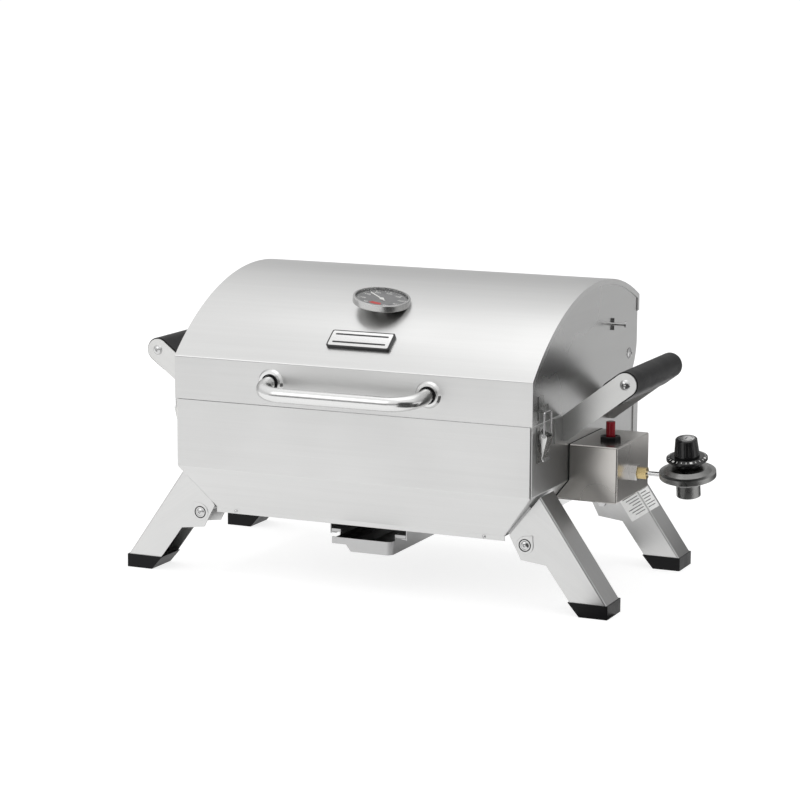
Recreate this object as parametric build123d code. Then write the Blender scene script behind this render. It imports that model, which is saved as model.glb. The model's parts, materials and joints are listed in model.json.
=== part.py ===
from build123d import *

import os
from math import atan2, cos, degrees, hypot, radians, sin, sqrt

# Portable two-handled tabletop gas grill. All sizes are millimetres.
# Working frame: X runs along the body and is 0 at its middle, Y is 0 at the lid's
# front face and grows to the rear, Z is 0 on the table. The finished nodes are
# shifted so that the origin is the middle of the foot print of the whole object.

# ---------------------------------------------------------------- driving sizes
BODY_LENGTH = 500.0
BODY_DEPTH = 399.0
SHEET = 1.2                     # stainless sheet of the lid, firebox and legs
FOLD_R = 3.0                    # outer radius of the lid's and firebox's folds
CORNER_R = 2.2                  # outer radius of the folds of legs and control box
HALF = BODY_LENGTH / 2

# Firebox
SEAM_Z = 241.3                  # lower edge of the closed lid
SEAM_GAP = 1.0
CREASE_Z = 151.0                # where the walls start to slope inward
FLOOR_Z = 94.0
FIREBOX_INSET = 1.0             # firebox wall behind the lid's wall
SLOPE_X = 45.0                  # how far each end panel slopes in
SLOPE_Y = 27.0                  # how far the front and rear panels slope in
LIP_DROP = 6.0                  # turned-down lip along the front of the floor

# Lid
FOLD_Z = 297.4                  # front fold, where the curved top starts
LID_RADIUS = 350.0
LID_CENTRE = (244.0, 46.5)      # Y and Z of the curved top's axis
REAR_FLANGE = 22.0
END_RIM = 6.0                   # rim of the wrap folded over the end plates
HINGE = (364.0, 284.0)          # Y and Z of the lid's hinge axis
CAP_REAR = 395.0
CAP_CORNER = 60.0
CAP_OUT = HALF - SHEET          # outer face of the end plates

# Legs
LEG_TOP = (250.0, 147.5)
LEG_OUT = (340.0, 17.0)
LEG_IN = (291.0, 17.0)
LEG_ELBOW = (259.0, 61.0)
LEG_HEEL = (225.0, 65.0)
LEG_PIVOT = (230.4, 84.6)
LEG_LOBE = 24.0                 # largest reach of the leg round its pivot bolt
LEG_GAP = 3.0                   # leg to sloping end panel
LEG_DEPTH = 48.0
LEG_FRONT_Y = 31.0
LEG_REAR_Y = BODY_DEPTH - LEG_FRONT_Y - LEG_DEPTH
FOOT_TOP = 17.5
FOOT_SOLE = (304.0, 341.5)
LEG_BOLT_R = 3.0
RUN_FIT = 0.05                  # radial running clearance of every pin

# Side handles
ARM_Y = (104.0, 284.0)          # front faces of the front and rear arm
ARM_THICK = 2.0
ARM_SCREW = (333.2, 284.8)
ARM_ANGLE = 36.9
ARM_R = 15.0
ARM_ROOT_X = 250.6
ARM_ROOT_Z = (207.4, 239.6)
GRIP_R = 16.5
GRIP_EXTRA = 20.0               # straight part of the grip's section

# Control box, igniter and gas inlet
BOX_X = 315.0
BOX_Y = (133.0, 258.0)
BOX_Z = (125.0, 198.0)
IGNITER = (289.5, 178.0)
BUTTON_R = 6.1
BUTTON_TOP = 223.5
COLLAR_R = 14.0
COLLAR_H = 6.5
GAS_AXIS = (188.0, 157.5)       # Y and Z of burner, orifice and inlet

# Regulator
REG_X = 391.5
REG_TILT = 11.5
REG_LIFT = 5.0                  # regulator's parting plane above the inlet's axis
REG_DISC_R = 36.5
SOCKET_R = 15.5
SOCKET_BORE = 12.7
SOCKET_END = -30.0

# Lid handle
GRAB_X = 110.0
GRAB_Z = 272.0
GRAB_R = 9.5
GRAB_REACH = 50.5
GRAB_BEND = 38.0
GRAB_DROOP = 8.2
BEZEL_R = 17.5
BEZEL_H = 3.5

# Thermometer
GAUGE_CENTRE = (2.4, 96.3, 378.3)
GAUGE_TILT = (9.4, 8.2)         # leans forward and a little to the right
GAUGE_R = 37.5
GAUGE_BORE = 34.5
GAUGE_BAND = 9.0                # height of the bezel's round wall
GAUGE_SEAT_R = 9.0
GAUGE_DEPTH = 4.4               # recess of the dial below the rim
DIAL_THICK = 0.8

# Badge
BADGE_X = (-42.5, 45.5)
BADGE_Y = (23.5, 47.0)
BADGE_THICK = 4.4

# Latches
LATCH_Y = 30.5
LATCH_PIVOT = (254.5, 226.0)
BAIL_PIVOT = (258.5, 226.0)
BAIL_TOP = 257.0
BAIL_R = 1.2
LATCH_PIN_R = 1.5
LEVER_FOOT_X = 254.5             # lower end of the closed lever
LEVER_FOOT_Z = 198.5

# Grease tray and rails
TRAY_FRONT = 21.0
TRAY_REAR = 300.0
RAIL_FRONT = 35.0
RAIL_REAR = 330.0
TRAY_RIM_X = (-40.0, 65.0)
TRAY_WALL_X = (-28.0, 51.0)
TRAY_FLOOR_Z = 55.0
TRAY_RIM_Z = (76.0, 80.0)
TRAY_LIP_Z = 72.5

# Inside the firebox
GRATE_Z = 216.0
BURNER_R = 11.0
SPARK_OFFSET = 30.0             # electrode in front of the burner's axis


# ---------------------------------------------------------------- small helpers
def block(x, y, z):
    """Box from a low to a high value along each axis."""
    size = [abs(b - a) for a, b in (x, y, z)]
    mid = [(a + b) / 2 for a, b in (x, y, z)]
    return Pos(*mid) * Box(*size)


def rod_x(y, z, radius, x0, x1):
    """Round bar along X."""
    bar = Cylinder(radius, abs(x1 - x0), rotation=(0, 90, 0))
    return Pos((x0 + x1) / 2, y, z) * bar


def rod_y(x, z, radius, y0, y1):
    """Round bar along Y."""
    bar = Cylinder(radius, abs(y1 - y0), rotation=(90, 0, 0))
    return Pos(x, (y0 + y1) / 2, z) * bar


def rod_z(x, y, radius, z0, z1):
    """Round bar along Z."""
    return Pos(x, y, (z0 + z1) / 2) * Cylinder(radius, abs(z1 - z0))


def hex_x(y, z, across, x0, x1):
    """Hexagonal nut along X, given its width across flats."""
    plane = Plane(origin=(x0, y, z), x_dir=(0, 1, 0), z_dir=(1, 0, 0))
    return extrude(plane * RegularPolygon(across / 2, 6, major_radius=False), x1 - x0)


def plate_xz(points, y0, y1):
    """Flat plate whose outline lies in X and Z, between two values of Y."""
    plane = Plane(origin=(0, y0, 0), x_dir=(1, 0, 0), z_dir=(0, -1, 0))
    outline = make_face(Polyline(*points, close=True))
    return extrude(plane * outline, -(y1 - y0))


def plate_yz(points, x0, x1):
    """Flat plate whose outline lies in Y and Z, between two values of X."""
    plane = Plane(origin=(x0, 0, 0), x_dir=(0, 1, 0), z_dir=(1, 0, 0))
    outline = make_face(Polyline(*points, close=True))
    return extrude(plane * outline, x1 - x0)


def mirrored(shape):
    """The same piece on the left side."""
    return mirror(shape, about=Plane.YZ)


def solids(*shapes):
    """One node that holds several separate solids."""
    found = []
    for shape in shapes:
        found.extend(shape.solids())
    return Compound(found)


def tapered_block(inset, z_low, z_high, grow=0.0):
    """Body of the firebox between two heights, straight above the crease.

    inset moves every wall inward, and grow lowers the floor of the block.
    """
    x = HALF - FIREBOX_INSET - inset
    y0 = FIREBOX_INSET + inset
    y1 = BODY_DEPTH - inset
    mid_y = (y0 + y1) / 2
    upper = block((-x, x), (y0, y1), (CREASE_Z, z_high))
    low = Plane.XY.offset(z_low) * Rectangle(2 * (x - SLOPE_X), y1 - y0 - 2 * SLOPE_Y)
    high = Plane.XY.offset(CREASE_Z) * Rectangle(2 * x, y1 - y0)
    lower = Pos(0, mid_y, 0) * loft([low.face(), high.face()])
    whole = upper + lower
    folds = [edge for edge in whole.edges() if z_low + 1 < edge.center().Z < z_high - 1]
    return fillet(folds, FOLD_R - inset)


# ---------------------------------------------------------------- firebox
def slope_x(z):
    """Half length of the firebox's outside at a height below the crease."""
    return HALF - FIREBOX_INSET - SLOPE_X * (CREASE_Z - z) / (CREASE_Z - FLOOR_Z)


def firebox_shell():
    """Open sheet tub with a turned-in rim, a grease hole and a burner hole."""
    top = SEAM_Z - SEAM_GAP
    shell = tapered_block(0, FLOOR_Z, top) - tapered_block(SHEET, FLOOR_Z + SHEET, top + 1)
    rim_in = 9.0
    rim_end = HINGE[0] - 34
    x = HALF - FIREBOX_INSET - SHEET / 2
    rim = block((-x, x), (FIREBOX_INSET + SHEET / 2, rim_end), (top - SHEET, top))
    hole = block((-x + rim_in, x - rim_in), (FIREBOX_INSET + rim_in, rim_end + 1), (top - 3, top + 1))
    shell += rim - hole
    grease_hole = block((-18, 42), (150, 220), (FLOOR_Z - 2, FLOOR_Z + 5))
    burner_hole = rod_x(*GAS_AXIS, 15.0, HALF - 20, HALF + 5)
    spark_hole = rod_x(GAS_AXIS[0] - SPARK_OFFSET, GAS_AXIS[1], 3.4, HALF - 20, HALF + 5)
    lip_y = FIREBOX_INSET + SLOPE_Y
    lip_x = slope_x(FLOOR_Z)
    shell += block((-lip_x, lip_x), (lip_y, lip_y + SHEET), (FLOOR_Z - LIP_DROP, FLOOR_Z + SHEET / 2))
    return shell - grease_hole - burner_hole - spark_hole


def rear_panel():
    """Rear cover with side flanges that wrap the ends of the firebox."""
    out = HALF - FIREBOX_INSET
    top = SEAM_Z - SEAM_GAP
    flange = 17.0
    cover = block((-out - SHEET, out + SHEET), (BODY_DEPTH, BODY_DEPTH + SHEET), (CREASE_Z, top))
    for side in (-1, 1):
        x = (side * out, side * (out + SHEET))
        cover += block(x, (BODY_DEPTH - flange, BODY_DEPTH + SHEET / 2), (CREASE_Z, top))
    return cover


def hinge_ear():
    """Right-hand plate that rises inside the lid and carries its hinge bolt."""
    inner = CAP_OUT - SHEET - 2.3
    outer = inner + 1.5
    wall = HALF - FIREBOX_INSET - SHEET
    y, z = HINGE
    plate = plate_yz([(y - 22, 195), (y + 24, 195), (y + 14, z), (y - 14, z)], inner, outer)
    plate += rod_x(y, z, 14, inner, outer)
    pad = block((inner + 0.5, wall), (y - 22, y + 24), (198, 232))
    return plate + pad - rod_x(y, z, 3, inner - 1, outer + 1)


def hinge_bolt():
    """Right-hand truss-head bolt and nut on the hinge axis."""
    y, z = HINGE
    head = Pos(CAP_OUT + 0.3, y, z) * Rot(0, 90, 0) * dome_head(7.5, 3.2)
    shank = rod_x(y, z, 3, CAP_OUT - SHEET - 8, CAP_OUT + 0.6)
    nut = hex_x(y, z, 10, CAP_OUT - SHEET - 7.6, CAP_OUT - SHEET - 2.3)
    return head + shank + nut


def dome_head(radius, height):
    """Low domed screw head with a drive recess. It stands on Z = 0."""
    ball_r = (radius ** 2 + height ** 2) / (2 * height)
    ball = Pos(0, 0, height - ball_r) * Sphere(ball_r)
    cap = ball & block((-radius, radius), (-radius, radius), (0, height + 1))
    bit = radius * 0.32
    recess = block((-bit, bit), (-0.7, 0.7), (height * 0.45, height + 1))
    recess += block((-0.7, 0.7), (-bit, bit), (height * 0.45, height + 1))
    return cap - recess


def cooking_grate():
    """Welded wire grate: a frame of rods, cross rods and close bars."""
    x = HALF - FIREBOX_INSET - SHEET - 4
    y0, y1 = 8.0, BODY_DEPTH - 8.0
    frame_r, bar_r = 3.5, 2.5
    grate = None
    for y in (y0, (y0 + y1) / 2, y1):
        rod = rod_x(y, GRATE_Z, frame_r, -x, x)
        grate = rod if grate is None else grate + rod
    count = 31
    bars = []
    for i in range(count):
        bar_x = -x + frame_r + (2 * x - 2 * frame_r) * i / (count - 1)
        bars.append(rod_y(bar_x, GRATE_Z + frame_r, bar_r, y0 - 2, y1 + 2))
    return grate.fuse(*bars)


def grate_ledge():
    """Right-hand angle strip inside the end panel that holds the grate."""
    wall = HALF - FIREBOX_INSET - SHEET
    top = GRATE_Z - 3.5
    y = (30, 320)
    return block((wall - SHEET, wall), y, (top - 18, top)) + block((wall - 13, wall), y, (top - SHEET, top))


def heat_plate():
    """Bent flame tamer over the burner."""
    y, z = GAS_AXIS
    half, peak, edge = 80.0, z + 38, z + 20
    t = 1.0
    outline = [(y - half, edge), (y - half / 3, peak), (y + half / 3, peak), (y + half, edge)]
    under = [(a, b - t * 1.3) for a, b in reversed(outline)]
    sheet = plate_yz(outline + under, -205, 205)
    for x in range(-160, 161, 64):
        for side in (-1, 1):
            sheet -= block((x - 14, x + 14), (y + side * 42, y + side * 48), (z, z + 60))
    for side in (-1, 1):
        foot_y = y + side * (half - 6)
        for x in (-170, 170):
            reach = block((x - 9, x + 9), (foot_y - 0.6, foot_y + 0.6), (FLOOR_Z + SHEET, edge + 1.5))
            sheet += reach
    return sheet


def burner_tube():
    """Closed tube burner with two rows of ports and an open venturi mouth."""
    y, z = GAS_AXIS
    end = HALF + 22
    tube = rod_x(y, z, BURNER_R, -200, end) - rod_x(y, z, BURNER_R - 1, -198.5, end + 1)
    ports = []
    for i in range(24):
        ports.append(rod_y(-185 + 16 * i, z + 3, 1.4, y - 20, y + 20))
    tube = tube.cut(*ports)
    for side in (-1, 1):
        tube -= block((end - 16, end - 4), (y + side * 6, y + side * 20), (z - 4, z + 4))
    return tube


def burner_bracket():
    """Strap that holds the closed end of the burner above the floor."""
    y, z = GAS_AXIS
    strap = block((-196, -184), (y - 14, y + 14), (FLOOR_Z + SHEET, z))
    strap -= block((-200, -180), (y - 12.8, y + 12.8), (FLOOR_Z + 2 * SHEET, z + 1))
    ring = rod_x(y, z, BURNER_R + 3, -196, -184) - block((-200, -180), (y - 20, y + 20), (z - 20, z))
    return (strap + ring) - rod_x(y, z, BURNER_R + 0.1, -200, -180)


def orifice_fitting():
    """Brass spud inside the control box, pointed into the burner's mouth."""
    y, z = GAS_AXIS
    fitting = rod_x(y, z, 3.5, HALF + 14, BOX_X - 30) + hex_x(y, z, 12, BOX_X - 32, BOX_X - 22)
    fitting += rod_x(y, z, 6, BOX_X - 22, BOX_X)
    return fitting - rod_x(y, z, 1.0, HALF + 10, BOX_X + 5)


def spark_electrode():
    """Ceramic electrode that reaches from the end panel to the burner."""
    y, z = GAS_AXIS
    rod_at = y - SPARK_OFFSET
    body = rod_x(rod_at, z, 3.0, HALF - FIREBOX_INSET - 50, HALF + 12)
    tip = rod_x(rod_at, z, 0.9, HALF - FIREBOX_INSET - 62, HALF - FIREBOX_INSET - 49)
    bend = rod_y(HALF - FIREBOX_INSET - 61.5, z, 0.9, rod_at - 0.9, y - BURNER_R - 4)
    return body + tip + bend


# ---------------------------------------------------------------- control box
def control_box():
    """Five-sided sheet housing on the right end, its foot follows the slope."""
    seat = HALF - FIREBOX_INSET + 1.5
    z0, z1 = BOX_Z
    foot = slope_x(z0) + 1.9
    outline = [(seat, z1), (BOX_X, z1), (BOX_X, z0), (foot, z0), (seat, CREASE_Z)]
    box = plate_xz(outline, *BOX_Y)
    box = fillet([edge for edge in box.edges() if edge.center().X > seat + 1], CORNER_R)
    hollow_x = BOX_X - SHEET
    inner = [(foot - 20, z1 - SHEET), (hollow_x, z1 - SHEET), (hollow_x, z0 + SHEET), (foot - 20, z0 + SHEET)]
    core = plate_xz(inner, BOX_Y[0] + SHEET, BOX_Y[1] - SHEET)
    box -= fillet([edge for edge in core.edges() if edge.center().X > seat], CORNER_R - SHEET)
    box -= rod_x(*GAS_AXIS, 6 + 0.1, BOX_X - 5, BOX_X + 5)
    return box - rod_z(*IGNITER, 9.1, z1 - 5, z1 + 5)


def control_box_gasket():
    """Black seal between the control box and the end panel."""
    wall = HALF - FIREBOX_INSET
    seat = wall + 1.5
    z0, z1 = BOX_Z
    low = slope_x(z0)
    outline = [(wall, z1), (seat, z1), (seat, CREASE_Z), (low + 1.9, z0), (low, z0), (wall, CREASE_Z)]
    ring = plate_xz(outline, *BOX_Y)
    edge = 5.0
    return ring - block((wall - 40, seat + 5), (BOX_Y[0] + edge, BOX_Y[1] - edge), (z0 + edge, z1 - edge))


def igniter_collar():
    """Black collar nut on top of the control box."""
    z1 = BOX_Z[1]
    ring = Pos(*IGNITER, z1) * extrude(RegularPolygon(COLLAR_R, 8), COLLAR_H)
    ring = chamfer(ring.edges().group_by(Axis.Z)[-1], 1.2)
    return ring - rod_z(*IGNITER, 9.0, z1 - 1, z1 + COLLAR_H + 1)


def igniter_body():
    """Piezo igniter barrel, mostly inside the control box."""
    z1 = BOX_Z[1]
    barrel = rod_z(*IGNITER, 9.0, z1 - 32, z1 + COLLAR_H - 0.8)
    return barrel - rod_z(*IGNITER, BUTTON_R + 0.3, z1 - 14, z1 + COLLAR_H + 2)


def igniter_button():
    """Red push button that slides down into the barrel."""
    cap = rod_z(*IGNITER, BUTTON_R, BOX_Z[1] - 6, BUTTON_TOP)
    return fillet(cap.edges().group_by(Axis.Z)[-1], 1.0)


def inlet_nut():
    """Steel lock nut on the outside of the control box."""
    y, z = GAS_AXIS
    nut = hex_x(y, z, 19, BOX_X, BOX_X + 10)
    return nut - rod_x(y, z, 5.0, BOX_X + 0.3, BOX_X + 11)


# ---------------------------------------------------------------- side handles
def arm_direction():
    """Unit vector of the arm in X and Z, pointing outward."""
    angle = radians(ARM_ANGLE)
    return cos(angle), sin(angle)


def side_arm(y0, flange_side):
    """Right-hand sheet arm at one Y, with a flange on the end panel."""
    ux, uz = arm_direction()
    sx, sz = ARM_SCREW
    upper = (sx - uz * ARM_R, sz + ux * ARM_R)
    lower = (sx + uz * ARM_R, sz - ux * ARM_R)
    low_z, high_z = ARM_ROOT_Z
    outline = [(ARM_ROOT_X, high_z), upper, lower, (ARM_ROOT_X + 6, low_z), (ARM_ROOT_X, low_z)]
    arm = plate_xz(outline, y0, y0 + ARM_THICK) + rod_y(sx, sz, ARM_R, y0, y0 + ARM_THICK)
    wall = HALF - FIREBOX_INSET
    reach = 28.0
    y_range = (y0 + ARM_THICK - reach, y0 + ARM_THICK) if flange_side < 0 else (y0, y0 + reach)
    arm += block((wall, ARM_ROOT_X + 0.2), y_range, (low_z, high_z - 0.5))
    return arm - rod_y(sx, sz, 3.2, y0 - 1, y0 + ARM_THICK + 1)


def side_grip():
    """Right-hand black grip between the two arms."""
    ux, uz = arm_direction()
    sx, sz = ARM_SCREW
    y0, y1 = ARM_Y[0] + ARM_THICK, ARM_Y[1]
    back = (sx - ux * GRIP_EXTRA, sz - uz * GRIP_EXTRA)
    grip = rod_y(sx, sz, GRIP_R, y0, y1) + rod_y(*back, GRIP_R, y0, y1)
    corners = []
    for cx, cz, side in ((sx, sz, 1), (sx, sz, -1), (*back, -1), (*back, 1)):
        corners.append((cx - side * uz * GRIP_R, cz + side * ux * GRIP_R))
    return grip + plate_xz(corners, y0, y1) - rod_y(sx, sz, 3.0, y0 - 1, y1 + 1)


def side_screw(y0, direction):
    """Button-head screw that holds the grip to one arm."""
    sx, sz = ARM_SCREW
    face = y0 if direction < 0 else y0 + ARM_THICK
    head = Pos(sx, face, sz) * Rot(90 * (1 if direction < 0 else -1), 0, 0) * dome_head(6.8, 3.6)
    return head + rod_y(sx, sz, 3.0, face, face - direction * 26)


# ---------------------------------------------------------------- legs
def leg_outline():
    """Side outline of a leg in X and Z, from its top corner clockwise."""
    run = hypot(SLOPE_X, CREASE_Z - FLOOR_Z)
    along = (SLOPE_X / run, (CREASE_Z - FLOOR_Z) / run)
    normal = (-along[1], along[0])
    px, pz = LEG_PIVOT
    to_panel = (HALF - FIREBOX_INSET - px) * normal[0] + (CREASE_Z - pz) * normal[1]
    reach = to_panel - LEG_GAP
    back = sqrt(LEG_LOBE ** 2 - reach ** 2)
    shoulder = (px + normal[0] * reach - along[0] * back, pz + normal[1] * reach - along[1] * back)
    return [LEG_TOP, LEG_OUT, LEG_IN, LEG_ELBOW, LEG_HEEL, shoulder]


def long_edges(shape, ux, uz):
    """The two outer edges of a leg that run down its slope."""
    found = []
    for edge in shape.edges():
        way = edge.tangent_at(0.5)
        along = abs(way.X * uz - way.Z * ux) < 0.001 and abs(way.Y) < 0.001
        if along and edge.center().X > LEG_PIVOT[0] + 30:
            found.append(edge)
    return found


def leg_channel(y0):
    """Right-hand open channel: front flange, outer web and rear flange."""
    outline = leg_outline()
    top, out = outline[0], outline[1]
    run = hypot(out[0] - top[0], out[1] - top[1])
    ux, uz = (out[0] - top[0]) / run, (out[1] - top[1]) / run
    low = 6.0
    outline = [top, out, (out[0], low), (LEG_IN[0] + 8.0, low)] + outline[2:]
    solid = plate_xz(outline, y0, y0 + LEG_DEPTH)
    solid = fillet(long_edges(solid, ux, uz), CORNER_R)
    inward = (uz * SHEET, -ux * SHEET)
    a = (top[0] + inward[0] - ux * 60, top[1] + inward[1] - uz * 60)
    b = (out[0] + inward[0], out[1] + inward[1])
    c = (b[0], low - 20)
    cutter = plate_xz([a, b, c, (a[0] - 250, c[1]), (a[0] - 250, a[1])], y0 + SHEET, y0 + LEG_DEPTH - SHEET)
    cutter = fillet(long_edges(cutter, ux, uz), CORNER_R - SHEET)
    return solid - cutter - rod_y(*LEG_PIVOT, LEG_BOLT_R + RUN_FIT, y0 - 1, y0 + LEG_DEPTH + 1)


def foot_cap(y0):
    """Right-hand rubber shoe that takes the end of the leg."""
    grow = 1.6
    x0, x1 = FOOT_SOLE
    outline = [(x0, 0), (x1, 0), (x1, FOOT_TOP), (LEG_IN[0] - 2.2, FOOT_TOP)]
    shoe = plate_xz(outline, y0 - grow, y0 + LEG_DEPTH + grow)
    shoe = fillet(shoe.edges().filter_by(Axis.Z), 1.4)
    return shoe - leg_channel(y0)


def leg_bracket(y0):
    """Right-hand bracket inside the leg: two cheeks and a seat on the slope."""
    cheek = 2.0
    gap = 0.5
    px, pz = LEG_PIVOT
    seat_low = (slope_x(FLOOR_Z + 4), FLOOR_Z + 4)
    seat_high = (slope_x(FLOOR_Z + 40), FLOOR_Z + 40)
    outline = [seat_low, seat_high, (px + 8, pz + 4), (px, pz - 8), (px - 8, pz - 2)]
    y_in = (y0 + SHEET + gap, y0 + LEG_DEPTH - SHEET - gap)
    bracket = None
    for a, b in ((y_in[0], y_in[0] + cheek), (y_in[1] - cheek, y_in[1])):
        side = plate_xz(outline, a, b)
        bracket = side if bracket is None else bracket + side
    run = hypot(SLOPE_X, CREASE_Z - FLOOR_Z)
    normal = ((CREASE_Z - FLOOR_Z) / run * cheek, -SLOPE_X / run * cheek)
    seat = [seat_low, seat_high]
    seat.append((seat_high[0] + normal[0], seat_high[1] + normal[1]))
    seat.append((seat_low[0] + normal[0], seat_low[1] + normal[1]))
    bracket += plate_xz(seat, *y_in)
    return bracket - rod_y(px, pz, LEG_BOLT_R, y0 - 1, y0 + LEG_DEPTH + 1)


def leg_bolt(y0, head_sign):
    """Pivot bolt of one leg with its domed head and nut."""
    px, pz = LEG_PIVOT
    y1 = y0 + LEG_DEPTH
    face, far = (y0 - 0.3, y1 + 4.6) if head_sign < 0 else (y1 + 0.3, y0 - 4.6)
    head = Pos(px, face, pz) * Rot(90 if head_sign < 0 else -90, 0, 0) * dome_head(6.0, 3.0)
    shank = rod_y(px, pz, LEG_BOLT_R, face, far)
    nut_plane = Plane(origin=(px, far + head_sign * 0.4, pz), x_dir=(1, 0, 0), z_dir=(0, head_sign, 0))
    nut = extrude(nut_plane * RegularPolygon(5, 6, major_radius=False), 3.8)
    return head + shank + nut


# ---------------------------------------------------------------- lid
def lid_top_z(y, inset=0.0):
    """Height of the curved top at a depth, or of the same curve moved inward."""
    return LID_CENTRE[1] + sqrt((LID_RADIUS - inset) ** 2 - (y - LID_CENTRE[0]) ** 2)


def lid_section(inset, rear, bottom, x0, x1):
    """Solid under the lid's curve between two values of X."""
    front = inset
    apex = (LID_CENTRE[0], LID_CENTRE[1] + LID_RADIUS - inset)
    start = (front, lid_top_z(front, inset))
    end = (rear, lid_top_z(rear, inset))
    edges = Line((front, bottom), start) + ThreePointArc(start, apex, end)
    edges += Line(end, (rear, bottom)) + Line((rear, bottom), (front, bottom))
    plane = Plane(origin=(x0, 0, 0), x_dir=(0, 1, 0), z_dir=(1, 0, 0))
    body = extrude(plane * make_face(edges), x1 - x0)
    fold = body.edges().filter_by(Axis.X).sort_by_distance((0, *start))[0]
    return fillet(fold, max(FOLD_R - inset, 0.5))


def lid_wrap():
    """One sheet for the front, the curved top and the rear flange of the lid."""
    bottom = SEAM_Z
    flange_z = lid_top_z(BODY_DEPTH) - REAR_FLANGE
    wrap = lid_section(0, BODY_DEPTH, bottom, -HALF, HALF)
    hollow = lid_section(SHEET, BODY_DEPTH - SHEET, bottom - 5, -CAP_OUT, CAP_OUT)
    wrap -= hollow
    window = lid_section(SHEET + END_RIM, BODY_DEPTH - SHEET - END_RIM, bottom - 5, -HALF - 1, HALF + 1)
    wrap -= window
    wrap -= block((-HALF - 1, HALF + 1), (SHEET, BODY_DEPTH + 1), (bottom - 9, FOLD_Z - 12))
    wrap -= block((-HALF - 1, HALF + 1), (BODY_DEPTH - 30, BODY_DEPTH + 1), (bottom - 9, flange_z))
    return wrap - gauge_rod(4.2, -60, 5) - handle_holes()


def handle_holes():
    """Screw holes of the grab handle through the front sheet."""
    return rod_y(-GRAB_X, GRAB_Z, 3.1, -2, 4) + rod_y(GRAB_X, GRAB_Z, 3.1, -2, 4)


def lid_end():
    """Right-hand end plate of the lid, its rear lower corner well rounded."""
    plate = lid_section(SHEET, CAP_REAR, SEAM_Z, CAP_OUT - SHEET, CAP_OUT)
    c = CAP_CORNER
    corner = block((CAP_OUT - 5, CAP_OUT + 5), (CAP_REAR - c, CAP_REAR + 1), (SEAM_Z - 1, SEAM_Z + c))
    corner -= rod_x(CAP_REAR - c, SEAM_Z + c, c, CAP_OUT - 6, CAP_OUT + 6)
    return plate - corner - rod_x(*HINGE, 3 + RUN_FIT, CAP_OUT - 5, CAP_OUT + 5)


def lid_pin():
    """Right-hand shouldered pin with a tab, high on the lid's end plate."""
    y, z = 293.6, 332.5
    pin = rod_x(y, z, 2.2, CAP_OUT, CAP_OUT + 20) + rod_x(y, z, 4.0, CAP_OUT + 17, CAP_OUT + 20)
    return pin + block((CAP_OUT, CAP_OUT + 3), (y - 1.2, y + 1.2), (z - 8, z + 8))


def lid_handle():
    """Bent tube handle, drooping a little below its two bezels."""
    droop = radians(GRAB_DROOP)
    start = Vector(-GRAB_X, 0, GRAB_Z)
    out = Vector(0, -cos(droop), -sin(droop))
    reach = out * GRAB_REACH
    across = Vector(2 * GRAB_X, 0, 0)
    points = [start, start + reach, start + reach + across, start + across]
    path = FilletPolyline(*points, radius=GRAB_BEND)
    profile = Plane(origin=start, z_dir=out) * Circle(GRAB_R)
    tube = sweep(profile, path=path)
    tube = tube & block((-400, 400), (-200, 0), (0, 500))
    for side in (-1, 1):
        tube -= rod_y(side * GRAB_X, GRAB_Z, 3.0, -18, 4)
    return tube


def handle_bezel(side):
    """Domed ring where the handle meets the lid."""
    x = side * GRAB_X
    standing = (Align.CENTER, Align.CENTER, Align.MIN)
    ring = Pos(x, 0, GRAB_Z) * Rot(90, 0, 0) * Cone(BEZEL_R, BEZEL_R - 2.5, BEZEL_H, align=standing)
    droop = tan_of(GRAB_DROOP) * BEZEL_H
    return ring - rod_y(x, GRAB_Z - droop / 2, GRAB_R + 0.6, -BEZEL_H - 1, 1)


def tan_of(angle):
    """Tangent of an angle in degrees."""
    return sin(radians(angle)) / cos(radians(angle))


def handle_screw(side):
    """Screw that holds one end of the handle from inside the lid."""
    x = side * GRAB_X
    head = Pos(x, SHEET, GRAB_Z) * Rot(-90, 0, 0) * dome_head(6, 3)
    return head + rod_y(x, GRAB_Z, 3.0, -17, SHEET + 0.4)


def badge():
    """Blank name plate, bent to the lid's curve."""
    y, z = LID_CENTRE
    ring = rod_x(y, z, LID_RADIUS + BADGE_THICK, *BADGE_X)
    ring -= rod_x(y, z, LID_RADIUS, BADGE_X[0] - 1, BADGE_X[1] + 1)
    return ring & block(BADGE_X, BADGE_Y, (z, z + 2 * LID_RADIUS))


# ---------------------------------------------------------------- thermometer
def gauge_place():
    """Frame of the thermometer: its origin is the middle of the rim's top."""
    return Pos(*GAUGE_CENTRE) * Rot(*GAUGE_TILT, 0)


def gauge_rod(radius, low, high):
    """Round bar on the thermometer's axis."""
    return gauge_place() * Pos(0, 0, (low + high) / 2) * Cylinder(radius, high - low)


def gauge_bezel():
    """Steel cup of the thermometer with a rolled rim."""
    cup = gauge_rod(GAUGE_R, -GAUGE_BAND, 0)
    cup = fillet(cup.edges().filter_by(GeomType.CIRCLE), 1.2)
    cup -= gauge_rod(GAUGE_BORE, -GAUGE_DEPTH, 1) + gauge_rod(4.2, -40, 1)
    return cup - rod_x(*LID_CENTRE, LID_RADIUS, -80, 80)


def gauge_seat():
    """Short steel collar that holds the thermometer clear of the sloping lid."""
    seat = gauge_rod(GAUGE_SEAT_R, -45, -GAUGE_BAND) - gauge_rod(4.2, -60, 1)
    seat = seat - rod_x(*LID_CENTRE, LID_RADIUS, -80, 80)
    return max(seat.solids(), key=lambda solid: solid.volume)


def gauge_dial():
    """Printed dial plate at the bottom of the recess."""
    return gauge_rod(GAUGE_BORE - 0.1, -GAUGE_DEPTH, DIAL_THICK - GAUGE_DEPTH) - gauge_rod(1.0, -8, 0)


def gauge_stem():
    """Probe of the thermometer, through the lid."""
    return gauge_rod(3.2, -78, -GAUGE_DEPTH) - gauge_rod(1.0, -10, 0)


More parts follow.
